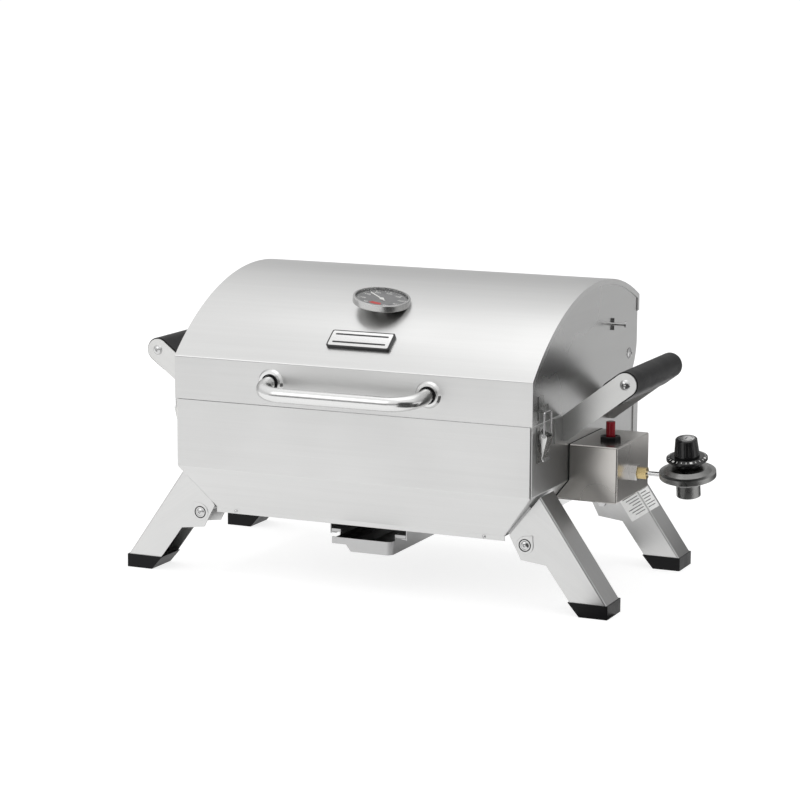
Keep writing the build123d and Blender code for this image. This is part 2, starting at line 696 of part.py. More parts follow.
def gauge_nut():
    """Nut that clamps the thermometer from inside the lid."""
    ring = gauge_rod(9.0, -40, -10) - gauge_rod(3.3, -45, 0)
    inner = LID_RADIUS - SHEET
    inside = rod_x(*LID_CENTRE, inner, -60, 60) - rod_x(*LID_CENTRE, inner - 6, -61, 61)
    return ring & inside


def gauge_needle():
    """Pointer over the dial, with its hub."""
    place = gauge_place()
    hub = gauge_rod(3.0, -3.5, -2.5) + gauge_rod(1.0 - RUN_FIT, -9.5, -2.9)
    blade = Pos(-10, 0, -3.2) * Box(34, 1.8, 0.6)
    return hub + place * Rot(0, 0, -35) * blade


# ---------------------------------------------------------------- latches
def latch_keeper():
    """Right-hand hook on the lid's end plate."""
    x = CAP_OUT
    outline = [(x, 246), (x + 1.2, 246), (x + 1.2, 258), (x + 6.2, 258), (x + 7.2, 259), (x + 7.2, 266)]
    outline += [(x + 6.0, 266), (x + 6.0, 260), (x + 1.2, 260), (x + 1.2, 276), (x, 276)]
    return plate_xz(outline, LATCH_Y - 8.5, LATCH_Y + 8.5)


def latch_base():
    """Right-hand base plate on the firebox with two ears and the lever's pin."""
    wall = HALF - FIREBOX_INSET
    px, pz = LATCH_PIVOT
    base = block((wall, wall + 1.2), (LATCH_Y - 13.5, LATCH_Y + 13.5), (193, 238))
    for side in (-1, 1):
        y = LATCH_Y + side * 6.8
        ear = [(wall + 1, pz - 12), (px + 1, pz - 2.6), (px + 2.6, pz)]
        ear += [(px + 1, pz + 2.6), (wall + 1, pz + 9)]
        base += plate_xz(ear, y - 0.6, y + 0.6)
    return base + rod_y(px, pz, LATCH_PIN_R, LATCH_Y - 11.6, LATCH_Y + 11.6)


def latch_lever():
    """Right-hand pull lever: a plate with two cheeks and a turned-out lip."""
    px, pz = LATCH_PIVOT
    bx, bz = BAIL_PIVOT
    y0, y1 = LATCH_Y - 10.7, LATCH_Y + 10.7
    top, foot = (260.9, pz - 0.5), (LEVER_FOOT_X, LEVER_FOOT_Z)
    outline = [foot, (foot[0] + 2.6, foot[1] - 3.6), (foot[0] + 3.8, foot[1] - 2.8)]
    outline += [(foot[0] + 1.3, foot[1] + 0.6), (top[0] + 1.2, top[1]), top]
    lever = plate_xz(outline, y0, y1)
    for a in (y0, y1 - 1.2):
        cheek = [(px - 1, pz - 3.8), (px + 0.2, pz - 12), (foot[0] + 0.6, foot[1] + 5)]
        cheek += [(top[0] + 0.6, top[1]), (bx, bz + 2.6), (px, pz + 3.6)]
        lever += plate_xz(cheek, a, a + 1.2) + rod_y(px, pz, 3.8, a, a + 1.2) + rod_y(bx, bz, 2.9, a, a + 1.2)
    lever -= rod_y(px, pz, LATCH_PIN_R + RUN_FIT, y0 - 1, y1 + 1)
    return lever - rod_y(bx, bz, BAIL_R + RUN_FIT, y0 - 1, y1 + 1)


def latch_bail():
    """Right-hand wire loop that swings on the lever."""
    bx, bz = BAIL_PIVOT
    half = 12.3
    y0, y1 = LATCH_Y - half, LATCH_Y + half
    inner = 10.7 - 1.2 - 0.6
    points = [(bx, LATCH_Y - inner, bz), (bx, y0, bz), (bx, y0, BAIL_TOP)]
    points += [(bx, y1, BAIL_TOP), (bx, y1, bz), (bx, LATCH_Y + inner, bz)]
    path = FilletPolyline(*points, radius=1.5)
    profile = Plane(origin=points[0], z_dir=(0, -1, 0)) * Circle(BAIL_R)
    return sweep(profile, path=path)


# ---------------------------------------------------------------- grease tray
def tray_outline(top, rim):
    """Outside of the tray's cross section in X and Z."""
    x0, x1 = TRAY_WALL_X
    step_x, step_z = x0 + 15, 63.8
    points = [(x0, top), (x0, step_z), (step_x, step_z)]
    points += [(step_x + 7, TRAY_FLOOR_Z), (x1, TRAY_FLOOR_Z), (x1, top)]
    if rim:
        points += [(TRAY_RIM_X[1], top), (TRAY_RIM_X[1], TRAY_RIM_Z[1])]
        points += [(TRAY_RIM_X[0], TRAY_RIM_Z[1]), (TRAY_RIM_X[0], top)]
    return points


def grease_tray():
    """Pull-out grease tray with side rims and a lower front wall."""
    t = 1.0
    x0, x1 = TRAY_WALL_X
    front = plate_xz(tray_outline(TRAY_LIP_Z, False), TRAY_FRONT, RAIL_FRONT)
    lip = block((x0 - 5, x0 + 10), (TRAY_FRONT, TRAY_FRONT + 2), (63.8, TRAY_LIP_Z))
    body = plate_xz(tray_outline(TRAY_RIM_Z[0], True), RAIL_FRONT, TRAY_REAR)
    tray = front + body
    edge = tray.edges().filter_by(Axis.Z).group_by(Axis.Y)[0].group_by(Axis.X)[-1]
    tray = fillet(edge, 9.0)
    step_x, step_z = x0 + 15 + t, 63.8 + t
    floor = TRAY_FLOOR_Z + t
    hollow = [(x0 + t, 90), (x0 + t, step_z), (step_x, step_z)]
    hollow += [(step_x + 6.5, floor), (x1 - t, floor), (x1 - t, 90)]
    scoop = plate_xz(hollow, TRAY_FRONT + t, TRAY_REAR - t)
    edge = scoop.edges().filter_by(Axis.Z).group_by(Axis.Y)[0].group_by(Axis.X)[-1]
    scoop = fillet(edge, 8.0)
    return tray - scoop + lip


def tray_rail(side):
    """Channel under the floor that holds one rim of the tray."""
    x = TRAY_RIM_X[0] if side < 0 else TRAY_RIM_X[1]
    y = (RAIL_FRONT, RAIL_REAR)
    web = block((x + side * 0.6, x + side * 1.8), y, (TRAY_RIM_Z[0] - 2.2, FLOOR_Z))
    shelf = block((x - side * 6, x + side * 1.8), y, (TRAY_RIM_Z[0] - 1.6, TRAY_RIM_Z[0] - 0.4))
    foot = block((x + side * 0.6, x + side * 14), y, (FLOOR_Z - 1.2, FLOOR_Z))
    return web + shelf + foot


def lip_rivet(x):
    """Rivet head on the firebox's front lip."""
    y = FIREBOX_INSET + SLOPE_Y
    return Pos(x, y, FLOOR_Z - LIP_DROP / 2) * Rot(90, 0, 0) * dome_head(2.6, 1.6)


# ---------------------------------------------------------------- regulator
def reg_place():
    """Frame of the regulator: origin on the inlet axis, Z along its tilted axis."""
    return Pos(REG_X, *GAS_AXIS) * Rot(REG_TILT, 0, 0)


def reg_turn(outline):
    """Solid of revolution about the regulator's axis.

    The outline is radius and height above the parting plane.
    """
    face = make_face(Polyline(*[(r, 0, w + REG_LIFT) for r, w in outline], close=True))
    return reg_place() * revolve(face, Axis.Z)


def inlet_connector():
    """Brass hexagon with the pipe thread that enters the lock nut."""
    y, z = GAS_AXIS
    body = hex_x(y, z, 14, BOX_X + 10.3, BOX_X + 22) + rod_x(y, z, 5.0 - RUN_FIT, BOX_X + 0.6, BOX_X + 10.6)
    return body - rod_x(y, z, 2.0, BOX_X - 1, BOX_X + 30)


def regulator_tube():
    """Short steel tube from the connector to the regulator."""
    y, z = GAS_AXIS
    tube = rod_x(y, z, 3.2, BOX_X + 22, REG_X - 26)
    return tube - rod_x(y, z, 2.0, BOX_X + 20, REG_X - 20)


def regulator_lower():
    """Lower half of the regulator with its rolled flange."""
    housing = reg_turn([(0, -12), (17, -12), (24, -10), (31, -3.5),
                        (REG_DISC_R, -3.5), (REG_DISC_R, 0), (0, 0)])
    boss = rod_x(*GAS_AXIS, 6.5, REG_X - 34, REG_X - 20)
    keep = reg_turn([(0, -12.1), (60, -12.1), (60, 0), (0, 0)])
    housing += boss & keep
    housing -= reg_turn([(0, -9), (15, -9), (28, -2), (28, 1), (0, 1)])
    return housing - rod_x(*GAS_AXIS, 3.2, REG_X - 40, REG_X - 26)


def regulator_upper():
    """Upper half of the regulator, domed up to the neck."""
    housing = reg_turn([(0, 0.02), (REG_DISC_R, 0.02), (REG_DISC_R, 3), (31, 4), (26, 9), (18, 12), (0, 12)])
    boss = rod_x(*GAS_AXIS, 6.5, REG_X - 34, REG_X - 20)
    keep = reg_turn([(0, 0.02), (60, 0.02), (60, 12), (0, 12)])
    housing += boss & keep
    housing -= reg_turn([(0, -1), (28, -1), (28, 2), (15, 9), (0, 9)])
    return housing - rod_x(*GAS_AXIS, 3.2, REG_X - 40, REG_X - 26)


def regulator_dial():
    """Black neck and the round dial plate under the knob."""
    body = reg_turn([(0, 12), (15.5, 12), (15.5, 17), (24, 17.5), (26.5, 19.5),
                     (26.5, 22), (21, 24.4), (0, 24.4)])
    return body - reg_turn([(0, 17), (3.0, 17), (3.0, 25), (0, 25)])


def regulator_knob():
    """Tapered knob with grip ribs and a spindle that turns in the neck."""
    low, high = 24.8, 48.0
    base_r, top_r = 16.2, 14.0
    knob = reg_turn([(0, low), (base_r, low), (base_r, low + 2),
                     (top_r, high - 1), (top_r - 1, high), (0, high)])
    knob += reg_turn([(0, 17.4), (2.95, 17.4), (2.95, low + 1), (0, low + 1)])
    count = 18
    lean = degrees(atan2(base_r - top_r, high - low))
    flutes = []
    for i in range(count):
        spot = Rot(0, 0, 360 / count * i) * Pos(top_r + 2.1, 0, REG_LIFT + low + 14.5) * Rot(0, -lean, 0)
        flutes.append(reg_place() * spot * Cylinder(1.5, 23))
    return knob.cut(*flutes)


def regulator_socket():
    """Threaded socket for a gas cylinder, with its valve pin."""
    ring = reg_turn([(SOCKET_BORE, SOCKET_END), (SOCKET_R, SOCKET_END), (SOCKET_R, -12), (SOCKET_BORE, -12)])
    return ring + reg_turn([(0, -14.5), (SOCKET_BORE + 0.5, -14.5), (SOCKET_BORE + 0.5, -12), (0, -12)])


# ---------------------------------------------------------------- all nodes
def build_nodes():
    """Every node by name, in the working frame."""
    nodes = {}

    nodes["firebox_shell"] = firebox_shell()
    nodes["rear_panel"] = rear_panel()
    nodes["hinge_ears"] = solids(hinge_ear(), mirrored(hinge_ear()))
    nodes["lid_hinge_bolts"] = solids(hinge_bolt(), mirrored(hinge_bolt()))
    nodes["cooking_grate"] = cooking_grate()
    nodes["grate_ledges"] = solids(grate_ledge(), mirrored(grate_ledge()))
    nodes["heat_plate"] = heat_plate()
    nodes["burner_tube"] = burner_tube()
    nodes["burner_bracket"] = burner_bracket()
    nodes["orifice_fitting"] = orifice_fitting()
    nodes["spark_electrode"] = spark_electrode()
    nodes["control_box"] = control_box()
    nodes["control_box_gasket"] = control_box_gasket()
    nodes["igniter_collar"] = igniter_collar()
    nodes["igniter_body"] = igniter_body()
    nodes["igniter_button"] = igniter_button()
    nodes["inlet_nut"] = inlet_nut()

    arms = [side_arm(ARM_Y[0], -1), side_arm(ARM_Y[1], 1)]
    screws = [side_screw(ARM_Y[0], -1), side_screw(ARM_Y[1], 1)]
    nodes["side_arms_right"] = solids(*arms)
    nodes["side_arms_left"] = solids(*[mirrored(arm) for arm in arms])
    nodes["side_grip_right"] = side_grip()
    nodes["side_grip_left"] = mirrored(side_grip())
    nodes["side_handle_screws"] = solids(*screws, *[mirrored(screw) for screw in screws])

    brackets, bolts = [], []
    for end, y0, head in (("front", LEG_FRONT_Y, -1), ("rear", LEG_REAR_Y, 1)):
        channel, shoe = leg_channel(y0), foot_cap(y0)
        for side in ("right", "left"):
            flip = mirrored if side == "left" else (lambda shape: shape)
            nodes[f"leg_{end}_{side}"] = flip(channel)
            nodes[f"foot_{end}_{side}"] = flip(shoe)
            brackets.append(flip(leg_bracket(y0)))
            bolts.append(flip(leg_bolt(y0, head)))
    nodes["leg_brackets"] = solids(*brackets)
    nodes["firebox_fasteners"] = solids(*bolts, lip_rivet(-176), lip_rivet(176))

    nodes["lid_wrap"] = lid_wrap()
    nodes["lid_end_right"] = lid_end()
    nodes["lid_end_left"] = mirrored(lid_end())
    nodes["lid_handle"] = lid_handle()
    nodes["handle_bezels"] = solids(handle_bezel(-1), handle_bezel(1))
    pins = solids(lid_pin(), mirrored(lid_pin()))
    nodes["lid_fasteners"] = solids(handle_screw(-1), handle_screw(1), gauge_nut(), pins)
    nodes["badge"] = badge()
    nodes["gauge_bezel"] = gauge_bezel()
    nodes["gauge_seat"] = gauge_seat()
    nodes["gauge_dial"] = gauge_dial()
    nodes["gauge_glass"] = gauge_rod(GAUGE_BORE - 0.1, -2.1, -1.1)
    nodes["gauge_stem"] = gauge_stem()
    nodes["gauge_needle"] = gauge_needle()

    nodes["latch_keepers"] = solids(latch_keeper(), mirrored(latch_keeper()))
    nodes["latch_bases"] = solids(latch_base(), mirrored(latch_base()))
    for side in ("right", "left"):
        flip = mirrored if side == "left" else (lambda shape: shape)
        nodes[f"latch_lever_{side}"] = flip(latch_lever())
        nodes[f"latch_bail_{side}"] = flip(latch_bail())

    nodes["grease_tray"] = grease_tray()
    nodes["tray_rails"] = solids(tray_rail(-1), tray_rail(1))

    nodes["inlet_connector"] = inlet_connector()
    nodes["regulator_tube"] = regulator_tube()
    nodes["regulator_lower"] = regulator_lower()
    nodes["regulator_upper"] = regulator_upper()
    nodes["regulator_socket"] = regulator_socket()
    nodes["regulator_dial"] = regulator_dial()
    nodes["regulator_knob"] = regulator_knob()
    return nodes


NODES = build_nodes()
WHOLE = Compound([solid for shape in NODES.values() for solid in shape.solids()]).bounding_box()
SHIFT = (-(WHOLE.min.X + WHOLE.max.X) / 2, -(WHOLE.min.Y + WHOLE.max.Y) / 2, -WHOLE.min.Z)

os.makedirs("parts", exist_ok=True)
for name, shape in NODES.items():
    export_step(Pos(*SHIFT) * shape, f"parts/{name}.step")
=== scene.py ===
"""Looks of the portable tabletop gas grill, built around its CAD frame."""
import json
import math

import bmesh
import bpy
from mathutils import Matrix, Vector

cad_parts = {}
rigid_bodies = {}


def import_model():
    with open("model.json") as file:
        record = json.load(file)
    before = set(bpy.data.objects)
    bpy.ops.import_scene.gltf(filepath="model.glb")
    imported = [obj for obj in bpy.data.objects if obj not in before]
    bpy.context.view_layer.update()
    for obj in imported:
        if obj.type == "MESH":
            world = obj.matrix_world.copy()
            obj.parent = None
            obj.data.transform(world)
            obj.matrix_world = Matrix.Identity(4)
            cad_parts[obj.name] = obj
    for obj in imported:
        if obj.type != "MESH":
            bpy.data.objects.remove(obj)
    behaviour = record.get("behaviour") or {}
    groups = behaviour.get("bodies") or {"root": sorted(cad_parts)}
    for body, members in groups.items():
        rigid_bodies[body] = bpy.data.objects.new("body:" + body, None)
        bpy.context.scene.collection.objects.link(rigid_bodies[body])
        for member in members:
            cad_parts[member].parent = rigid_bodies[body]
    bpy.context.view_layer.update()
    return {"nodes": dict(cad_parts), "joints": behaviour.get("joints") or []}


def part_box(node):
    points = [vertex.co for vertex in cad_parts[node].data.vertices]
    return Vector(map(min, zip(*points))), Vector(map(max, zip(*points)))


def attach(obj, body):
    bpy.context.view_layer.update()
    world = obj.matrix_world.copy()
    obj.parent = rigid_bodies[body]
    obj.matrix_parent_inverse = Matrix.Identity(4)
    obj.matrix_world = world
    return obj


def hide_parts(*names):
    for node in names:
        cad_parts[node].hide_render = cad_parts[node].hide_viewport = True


for leftover in list(bpy.data.objects):
    bpy.data.objects.remove(leftover)

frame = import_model()
NODES = frame["nodes"]
JOINTS = {joint["name"]: joint for joint in frame["joints"]}
MM = 0.001

# The design frame: X is 0 at the middle of the lid, Y is 0 at its front face, Z is 0 on the table.
LID_LOW, LID_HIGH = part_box("lid_wrap")
ORIGIN = Vector(((LID_LOW.x + LID_HIGH.x) / 2, LID_LOW.y, 0))

# Turn of the legs' brush lines from the vertical. It is the tilt of a leg's long axis from the
# horizontal, so the lines run about 21 degrees off the leg's length.
LEG_SLOPE = math.atan2(130.5, 90.0)
ARM_SLOPE = math.radians(36.9)          # rise of a side arm from the horizontal
GAUGE_TILT = Matrix.Rotation(math.radians(9.4), 4, "X") @ Matrix.Rotation(math.radians(8.2), 4, "Y")
KNOB_TILT = math.radians(11.5)


def at(x, y, z):
    """A point of the design frame, given in millimetres."""
    return ORIGIN + Vector((x, y, z)) * MM


# ------------------------------------------------------------------ materials
class Shader:
    """A node material with a Principled shader and short ways to wire it."""

    def __init__(self, name, base, rough, metallic=0.0):
        self.material = bpy.data.materials.new(name)
        self.material.use_nodes = True
        self.tree = self.material.node_tree
        self.shader = self.tree.nodes["Principled BSDF"]
        self.shader.inputs["Base Color"].default_value = (*base, 1)
        self.shader.inputs["Roughness"].default_value = rough
        self.shader.inputs["Metallic"].default_value = metallic
        self.coords = self.tree.nodes.new("ShaderNodeTexCoord")

    def node(self, kind, **values):
        """A new node, its inputs set by name."""
        made = self.tree.nodes.new(kind)
        for key, value in values.items():
            made.inputs[key.replace("_", " ")].default_value = value
        return made

    def link(self, source, target):
        """Wire an output to an input."""
        self.tree.links.new(source, target)

    def mapped(self, scale, rotation=(0, 0, 0)):
        """Object coordinates, turned and then scaled."""
        turn = self.node("ShaderNodeMapping", Rotation=rotation)
        stretch = self.node("ShaderNodeMapping", Scale=scale)
        self.link(self.coords.outputs["Object"], turn.inputs["Vector"])
        self.link(turn.outputs["Vector"], stretch.inputs["Vector"])
        return stretch.outputs["Vector"]

    def noise(self, vector, scale, detail=3.0):
        """A noise texture over a vector."""
        made = self.node("ShaderNodeTexNoise", Scale=scale, Detail=detail)
        self.link(vector, made.inputs["Vector"])
        return made.outputs["Fac"]

    def range(self, source, low, high, from_low=0.3, from_high=0.7):
        """The source, stretched to run from low to high."""
        made = self.node("ShaderNodeMapRange", From_Min=from_low, From_Max=from_high, To_Min=low, To_Max=high)
        self.link(source, made.inputs["Value"])
        return made.outputs["Result"]

    def blend(self, factor, first, second, socket="Base Color"):
        """A mix of two colours, wired to a socket of the shader."""
        made = self.tree.nodes.new("ShaderNodeMix")
        made.data_type = "RGBA"
        for item in made.inputs:
            if item.name == "A" and item.type == "RGBA":
                item.default_value = (*first, 1)
            if item.name == "B" and item.type == "RGBA":
                item.default_value = (*second, 1)
        self.link(factor, made.inputs["Factor"])
        colour = [output for output in made.outputs if output.type == "RGBA"][0]
        self.link(colour, self.shader.inputs[socket])
        return colour

    def bump(self, height, strength, distance):
        """Let a height wave the surface's normal."""
        made = self.node("ShaderNodeBump", Strength=strength, Distance=distance)
        self.link(height, made.inputs["Height"])
        self.link(made.outputs["Normal"], self.shader.inputs["Normal"])


def tint(colour, factor):
    """A colour made lighter or darker."""
    return tuple(min(1.0, part * factor) for part in colour)


FINE_LINES, FINE_ALONG = 900.0, 9.0     # noise cells per metre across and along the grain
BROAD_LINES, BROAD_ALONG = 130.0, 4.0


def brushed_steel(name, grain, base=(0.64, 0.64, 0.635), rough=0.32, turn=(0, 0, 0), bump=0.07):
    """Stainless sheet with fine brush lines along one axis and faint clouding.

    grain is the axis that the lines run along, after the turn.
    """
    look = Shader(name, base, rough, metallic=1.0)
    fine = [FINE_LINES] * 3
    fine["XYZ".index(grain)] = FINE_ALONG
    lines = look.noise(look.mapped(fine, turn), 1.0, 4.0)
    broad = [BROAD_LINES] * 3
    broad["XYZ".index(grain)] = BROAD_ALONG
    streaks = look.noise(look.mapped(broad, turn), 1.0, 2.0)
    clouds = look.noise(look.mapped((1, 1, 1)), 7.0, 2.0)
    mixed = look.node("ShaderNodeMath")
    mixed.operation = "MULTIPLY_ADD"
    look.link(lines, mixed.inputs[0])
    mixed.inputs[1].default_value = 0.6
    look.link(look.range(streaks, 0.0, 0.4, 0.2, 0.8), mixed.inputs[2])
    look.blend(look.range(mixed.outputs["Value"], 0, 1, 0.25, 0.75), tint(base, 0.975), tint(base, 1.02))
    look.link(look.range(clouds, rough - 0.04, rough + 0.05), look.shader.inputs["Roughness"])
    look.bump(lines, bump, 0.00006)
    return look.material


def plated(name, base, rough):
    """Bright plated wire or screw, with faint handling marks."""
    look = Shader(name, base, rough, metallic=1.0)
    marks = look.noise(look.mapped((1, 1, 1)), 90.0, 2.0)
    look.blend(look.range(marks, 0, 1), tint(base, 0.93), tint(base, 1.03))
    look.link(look.range(marks, rough - 0.03, rough + 0.05), look.shader.inputs["Roughness"])
    look.bump(marks, 0.02, 0.00005)
    return look.material


def cast_metal(name, base, rough):
    """Die-cast zinc with a fine grainy skin."""
    look = Shader(name, base, rough, metallic=1.0)
    grain = look.noise(look.mapped((1, 1, 1)), 1500.0, 3.0)
    clouds = look.noise(look.mapped((1, 1, 1)), 60.0, 3.0)
    look.blend(look.range(clouds, 0, 1), tint(base, 0.82), tint(base, 1.1))
    look.link(look.range(clouds, rough - 0.06, rough + 0.08), look.shader.inputs["Roughness"])
    look.bump(grain, 0.25, 0.0002)
    return look.material


def moulded(name, base, rough, grain_scale=1400.0, bump=0.2, coat=0.0, specular=0.24):
    """Moulded plastic or rubber with a fine grain and slight wear."""
    look = Shader(name, base, rough)
    look.shader.inputs["Specular IOR Level"].default_value = specular
    grain = look.noise(look.mapped((1, 1, 1)), grain_scale, 2.0)
    clouds = look.noise(look.mapped((1, 1, 1)), 35.0, 3.0)
    look.blend(look.range(clouds, 0, 1), tint(base, 0.8), tint(base, 1.25))
    look.link(look.range(clouds, rough - 0.05, rough + 0.07), look.shader.inputs["Roughness"])
    look.bump(grain, bump, 0.0003)
    if coat:
        look.shader.inputs["Coat Weight"].default_value = coat
        look.shader.inputs["Coat Roughness"].default_value = 0.15
    return look.material


def painted(name, base, rough=0.5):
    """Flat printed or painted surface with a trace of mottling."""
    look = Shader(name, base, rough)
    clouds = look.noise(look.mapped((1, 1, 1)), 300.0, 3.0)
    look.blend(look.range(clouds, 0, 1), tint(base, 0.94), tint(base, 1.04))
    look.bump(clouds, 0.04, 0.0001)
    return look.material


def clear_glass(name):
    """Thin clear lens with faint smears in its gloss."""
    look = Shader(name, (0.97, 0.98, 0.98), 0.03)
    smears = look.noise(look.mapped((1, 1, 1)), 90.0, 3.0)
    look.link(look.range(smears, 0.02, 0.07), look.shader.inputs["Roughness"])
    look.blend(look.range(smears, 0, 1), (0.95, 0.96, 0.96), (1.0, 1.0, 1.0))
    look.shader.inputs["Transmission Weight"].default_value = 1.0
    look.shader.inputs["IOR"].default_value = 1.02
    look.shader.inputs["Alpha"].default_value = 0.12
    return look.material


def make_materials():
    """Every material by a short key."""
    slope = (0, LEG_SLOPE, 0)
    counter_slope = (0, -LEG_SLOPE, 0)
    arm_base = (0.70, 0.70, 0.69)
    return {
        "lid_steel": brushed_steel("lid_steel", "X"),
        "end_steel": brushed_steel("end_steel", "Y", base=(0.60, 0.60, 0.595), rough=0.27),
        "box_steel": brushed_steel("box_steel", "Z", base=(0.60, 0.58, 0.555), rough=0.28),
        "shell_steel": brushed_steel("shell_steel", "X"),
        "leg_steel_right": brushed_steel("leg_steel_right", "Z", turn=slope, rough=0.30),
        "leg_steel_left": brushed_steel("leg_steel_left", "Z", turn=counter_slope, rough=0.30),
        "arm_steel_right": brushed_steel("arm_steel_right", "X", turn=(0, ARM_SLOPE, 0), base=arm_base),
        "arm_steel_left": brushed_steel("arm_steel_left", "X", turn=(0, -ARM_SLOPE, 0), base=arm_base),
        "tray_steel": brushed_steel("tray_steel", "Y", base=(0.5, 0.5, 0.5), rough=0.4),
        "tube_steel": brushed_steel("tube_steel", "X", base=(0.70, 0.70, 0.695), rough=0.19, bump=0.03),
        "latch_steel": plated("latch_steel", (0.62, 0.62, 0.61), 0.24),
        "bezel_steel": plated("bezel_steel", (0.50, 0.50, 0.495), 0.24),
        "wire_steel": plated("wire_steel", (0.74, 0.74, 0.74), 0.18),
        "screw_steel": plated("screw_steel", (0.62, 0.62, 0.62), 0.22),
        "inner_steel": cast_metal("inner_steel", (0.40, 0.39, 0.37), 0.45),
        "zinc": cast_metal("zinc", (0.27, 0.27, 0.265), 0.28),
        "brass": plated("brass", (0.66, 0.52, 0.26), 0.28),
        "black_plastic": moulded("black_plastic", (0.006, 0.006, 0.0065), 0.30),
        "grip_plastic": moulded("grip_plastic", (0.012, 0.012, 0.0125), 0.46, grain_scale=520.0, bump=1.0),
        "black_rubber": moulded("black_rubber", (0.006, 0.006, 0.0065), 0.42, bump=0.3, specular=0.16),
        "knob_plastic": moulded("knob_plastic", (0.006, 0.006, 0.0065), 0.24, bump=0.05, specular=0.5),
        "red_plastic": moulded("red_plastic", (0.19, 0.004, 0.010), 0.20, coat=0.25),
        "dial_paint": painted("dial_paint", (0.17, 0.17, 0.172), 0.45),
        "white_paint": painted("white_paint", (0.78, 0.78, 0.76)),
        "red_paint": painted("red_paint", (0.45, 0.03, 0.025)),
        "label_paper": painted("label_paper", (0.88, 0.88, 0.87), 0.55),
        "label_ink": painted("label_ink", (0.05, 0.05, 0.055), 0.6),
        "black_paint": painted("black_paint", (0.007, 0.007, 0.0075), 0.3),
        "ceramic": moulded("ceramic", (0.78, 0.77, 0.73), 0.25, bump=0.05, coat=0.6),
        "lens": clear_glass("lens"),
    }


LOOKS = make_materials()
NODE_LOOKS = {
    "lid_steel": ("lid_wrap", "gauge_seat"),
    "end_steel": ("lid_end_right", "lid_end_left", "rear_panel", "hinge_ears", "grate_ledges"),
    "shell_steel": ("firebox_shell", "badge"),
    "box_steel": ("control_box",),
    "leg_steel_right": ("leg_front_right", "leg_rear_right"),
    "leg_steel_left": ("leg_front_left", "leg_rear_left"),
    "arm_steel_right": ("side_arms_right",),
    "arm_steel_left": ("side_arms_left",),
    "tray_steel": ("grease_tray", "tray_rails", "leg_brackets"),
    "tube_steel": ("lid_handle", "handle_bezels"),
    "bezel_steel": ("gauge_bezel",),
    "latch_steel": ("latch_lever_right", "latch_lever_left", "latch_keepers", "latch_bases"),
    "wire_steel": ("latch_bail_right", "latch_bail_left", "cooking_grate", "regulator_tube"),
    "screw_steel": ("lid_hinge_bolts", "side_handle_screws", "firebox_fasteners", "lid_fasteners",
                    "inlet_nut", "gauge_stem"),
    "inner_steel": ("heat_plate", "burner_tube", "burner_bracket"),
    "zinc": ("regulator_lower", "regulator_upper", "regulator_socket"),
    "brass": ("orifice_fitting", "inlet_connector"),
    "black_plastic": ("igniter_collar", "igniter_body"),
    "knob_plastic": ("regulator_dial", "regulator_knob"),
    "grip_plastic": ("side_grip_right", "side_grip_left"),
    "black_rubber": ("control_box_gasket", "foot_front_right", "foot_front_left", "foot_rear_right",
                     "foot_rear_left"),
    "red_plastic": ("igniter_button",),
    "dial_paint": ("gauge_dial",),
    "white_paint": ("gauge_needle",),
    "lens": ("gauge_glass",),
    "ceramic": ("spark_electrode",),
}
for key, names in NODE_LOOKS.items():
    for node_name in names:
        slots = NODES[node_name].data.materials
        if not slots:
            slots.append(LOOKS[key])
        for index in range(len(slots)):
            slots[index] = LOOKS[key]


# ------------------------------------------------------------------ mesh pieces
def finish_piece(name, mesh, look, body, bevel=0.0, smooth_angle=30.0):
    """Turn a bmesh into a finished piece that rides on a body."""
    bmesh.ops.recalc_face_normals(mesh, faces=mesh.faces)
    data = bpy.data.meshes.new(name)
    mesh.to_mesh(data)
    mesh.free()
    data.materials.append(LOOKS[look])
    piece = bpy.data.objects.new(name, data)
    bpy.context.scene.collection.objects.link(piece)
    if bevel:
        soften = piece.modifiers.new("edge", "BEVEL")
        soften.width = bevel
        soften.segments = 2
        soften.limit_method = "ANGLE"
        soften.angle_limit = math.radians(35)
    data.shade_smooth()
    data.set_sharp_from_angle(angle=math.radians(smooth_angle))
    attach(piece, body)
    return piece


def slab(mesh, outline, place, thickness):
    """Add a flat plate with that 2-D outline, its underside in the place's XY plane."""
    low = [mesh.verts.new(place @ Vector((x, y, 0))) for x, y in outline]
    high = [mesh.verts.new(place @ Vector((x, y, thickness))) for x, y in outline]
    mesh.faces.new(list(reversed(low)))
    mesh.faces.new(high)
    count = len(outline)
    for i in range(count):
        j = (i + 1) % count
        mesh.faces.new((low[i], low[j], high[j], high[i]))


def rounded_rectangle(width, height, radius, steps=6):
    """Outline of a rectangle with round corners, about its middle."""
    points = []
    for corner, (sx, sy) in enumerate(((1, 1), (-1, 1), (-1, -1), (1, -1))):
        cx, cy = sx * (width / 2 - radius), sy * (height / 2 - radius)
        for i in range(steps + 1):
            angle = math.pi / 2 * (corner + i / steps)
            points.append((cx + radius * math.cos(angle), cy + radius * math.sin(angle)))
    return points


def circle(radius, steps=48):
    """Outline of a circle."""
    return [(radius * math.cos(2 * math.pi * i / steps), radius * math.sin(2 * math.pi * i / steps))
            for i in range(steps)]


def sector(inner, outer, start, end, steps=12):
    """Outline of a ring's sector between two angles."""
    angles = [start + (end - start) * i / steps for i in range(steps + 1)]
    points = [(outer * math.cos(a), outer * math.sin(a)) for a in angles]
    return points + [(inner * math.cos(a), inner * math.sin(a)) for a in reversed(angles)]


